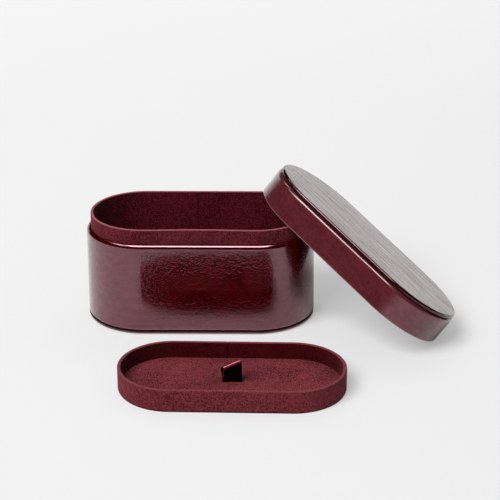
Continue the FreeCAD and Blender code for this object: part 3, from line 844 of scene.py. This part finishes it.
# The red goes only on the lit front of the fold, stopping short of its top so that the back stays
# in painted shade, and on the dyed left edge.
second_finish(tab, tab_leather, tab_red_lit_and_edge, on_lit_fold_or_red_edge)
pick(lambda p: p.z > fold.z - NEARLY)
for angle, axis in ((SLANT, "Y"), (-TWIST, "Z")):
    bpy.ops.transform.rotate(value=math.radians(angle), orient_axis=axis,
                             center_override=fold * MM)
tips = sorted((point.co / MM for point in bmesh.from_edit_mesh(tab.data).verts if point.select),
              key=lambda p: p.x)
print("fold from", [round(c, 1) for c in tips[0]], "to", [round(c, 1) for c in tips[-1]])

# %% Thickness of the strap
STRAP_ROUND = 0.15
bpy.ops.mesh.select_all(action="SELECT")
bpy.ops.mesh.subdivide(number_cuts=2, smoothness=0.0)
bpy.ops.mesh.normals_make_consistent(inside=False)
# Painted shade: low on the legs, near the slit, all faces go back to the near-black finish.
pick(lambda p: p.z < TAB_FOOT + SHADED_BELOW, "FACE")
tab.active_material_index = 0
bpy.ops.object.material_slot_assign()
bpy.ops.object.mode_set(mode="OBJECT")
change(tab, "SOLIDIFY", thickness=STRAP * MM, offset=0.0, use_even_offset=True)
change(tab, "BEVEL", width=STRAP_ROUND * MM, segments=2, limit_method="ANGLE",
       angle_limit=SHARP_FROM)
close_piece(tab, TRAY_PLACE, "pull_tab", [tab_leather, tab_red_lit_and_edge], ["tab_loop"])

# %% [markdown]
# ## Tails of the strap
# Under the tray's floor the strap's ends are turned apart and glued down. Nobody sees them, but
# they hold the tab, so they are there: a flat sheet whose middle strip is pulled up as the two
# legs.

# %% Tails
TAIL_LOW, TAIL_THICK, TAIL_SPREAD = 0.62, 0.45, 28.0
LEGS_HALF, LEGS_RISE, TAIL_ROUND = 1.3, 3.8, 0.12
bpy.ops.object.select_all(action="DESELECT")
bpy.ops.mesh.primitive_plane_add(size=1, location=(0, 0, TAIL_LOW * MM))
tails = bpy.context.object
tails.name = tails.data.name = "pull_tab_tails"
tails.scale = (TAB_WIDTH * MM, TAIL_SPREAD * MM, 1)
bpy.ops.object.transform_apply(location=True, rotation=True, scale=True)
bpy.ops.object.mode_set(mode="EDIT")
for place in (-LEGS_HALF, LEGS_HALF):
    cut_across((0, place, 0), (0, 1, 0))
bpy.ops.mesh.select_all(action="SELECT")
pull(z=TAIL_THICK)
pick(lambda p: p.z > TAIL_LOW + NEAR and abs(p.y) < LEGS_HALF + NEAR, "FACE")
pull(z=LEGS_RISE)
bpy.ops.mesh.select_all(action="SELECT")
bpy.ops.mesh.normals_make_consistent(inside=False)
bpy.ops.object.mode_set(mode="OBJECT")
change(tails, "BEVEL", width=TAIL_ROUND * MM, segments=2, limit_method="ANGLE",
       angle_limit=SHARP_FROM)
close_piece(tails, TRAY_PLACE, "tray", [tab_leather], ["tab_tails"])

# %% [markdown]
# ## Card inside
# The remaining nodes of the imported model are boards. Their shapes are right as they are, so they
# only get the card finish.

# %% Boards
for node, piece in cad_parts.items():
    if not piece.hide_render:
        piece.data.materials.clear()
        piece.data.materials.append(card)
        print(node, "gets", card.name)

# %% [markdown]
# ## Floor, light and camera
# The case stands on a wide pale floor that sweeps up at the back. A large window light high on the
# left gives the shade. Two softboxes, one overhead and one on the left, give only the white lines
# on the edges, and a last light brightens the sweep. The photograph's floor was lightened
# afterwards, so its shadows are fainter than the ones that the leather mirrors. A Light Path node
# gives both: rays straight from the camera meet a floor with a little glow of its own, and all
# other rays meet a plain one. That holds for any camera, and only the floor has it. The camera
# looks down from in front with a long lens, a little to the right of the case.

# %% Floor
FLOOR_SIDE, FLOOR_LEVEL = 9.0, -0.0001
SWEEP_HIGH, SWEEP_ROUND = 1400.0, 0.9
bpy.ops.object.select_all(action="DESELECT")
bpy.ops.mesh.primitive_plane_add(size=FLOOR_SIDE, location=(0, 0, FLOOR_LEVEL))
ground = bpy.context.object
ground.name = "studio_floor"
bpy.ops.object.mode_set(mode="EDIT")
pick(lambda p: p.y > 0, "EDGE")
pull(z=SWEEP_HIGH)
pick(lambda p: p.y > 0 and p.z < 1, "EDGE")
bpy.ops.mesh.bevel(offset=SWEEP_ROUND, segments=16, affect="EDGES")
bpy.ops.object.mode_set(mode="OBJECT")
bpy.ops.object.shade_smooth()
paper = Finish("pale_floor")
fleck = paper.noise(paper.place(), 3.0, detail=2.0)
seen = paper.node("ShaderNodeLightPath", output="Is Camera Ray")
tone = paper.mix(seen, (0.70, 0.70, 0.70, 1), (0.41, 0.41, 0.41, 1))
ground.data.materials.append(paper.surface(
    Base__Color=paper.mix(fleck * 0.02, tone, (1, 1, 1, 1)),
    Emission__Color=paper.mix(seen, (0.0, 0.0, 0.0, 1), (0.35, 0.35, 0.35, 1)),
    Emission__Strength=1.0, Roughness=0.9, Specular__IOR__Level=0.0))
print(ground.name, FLOOR_SIDE, "m wide")

# %% Light
sky = bpy.data.worlds.new("studio_air")
sky.use_nodes = True
air = sky.node_tree.nodes["Background"]
air.inputs["Color"].default_value = (1, 1, 1, 1)
air.inputs["Strength"].default_value = 0.3
sky.cycles_visibility.glossy = False
bpy.context.scene.world = sky


def soft_light(name, place, wide, deep, power, aim=(0.05, -0.05, 0.05)):
    light = bpy.data.lights.new(name, "AREA")
    light.shape = "RECTANGLE"
    light.size, light.size_y, light.energy = wide, deep, power
    holder = bpy.data.objects.new(name, light)
    holder.location = place
    holder.rotation_euler = (Vector(aim) - Vector(place)).to_track_quat("-Z", "Y").to_euler()
    bpy.context.scene.collection.objects.link(holder)
    return holder


overhead = soft_light("overhead", (-0.175, -1.0, 4.0), wide=2.65, deep=2.4, power=225.0,
                      aim=(-0.175, -1.0, 0.0))
side_box = soft_light("side_box", (-2.4, -0.5, 4.0), wide=1.2, deep=2.4, power=48.0,
                      aim=(-2.4, -0.5, 0.0))
overhead.visible_diffuse = side_box.visible_diffuse = False
window = soft_light("window", (-2.0, -2.6, 3.8), wide=3.0, deep=3.0, power=312.0)
window.visible_glossy = False
soft_light("backdrop", (0.0, 1.8, 3.0), wide=3.0, deep=1.0, power=92.0, aim=(0.0, 4.5, 0.6))
bpy.context.scene.view_settings.view_transform = "Standard"

# %% Camera
EYE, TILT, TURN = (0.056521, -1.372433, 0.645686), 66.919, 0.464
lens = bpy.data.cameras.new("camera")
lens.sensor_width, lens.lens = 36.0, 116.2
lens.clip_end = 30.0
camera = bpy.data.objects.new("camera", lens)
camera.location = EYE
camera.rotation_euler = Euler((math.radians(TILT), 0, math.radians(TURN)))
bpy.context.scene.collection.objects.link(camera)
bpy.context.scene.camera = camera
print("camera at", EYE, "m, lens", lens.lens, "mm")
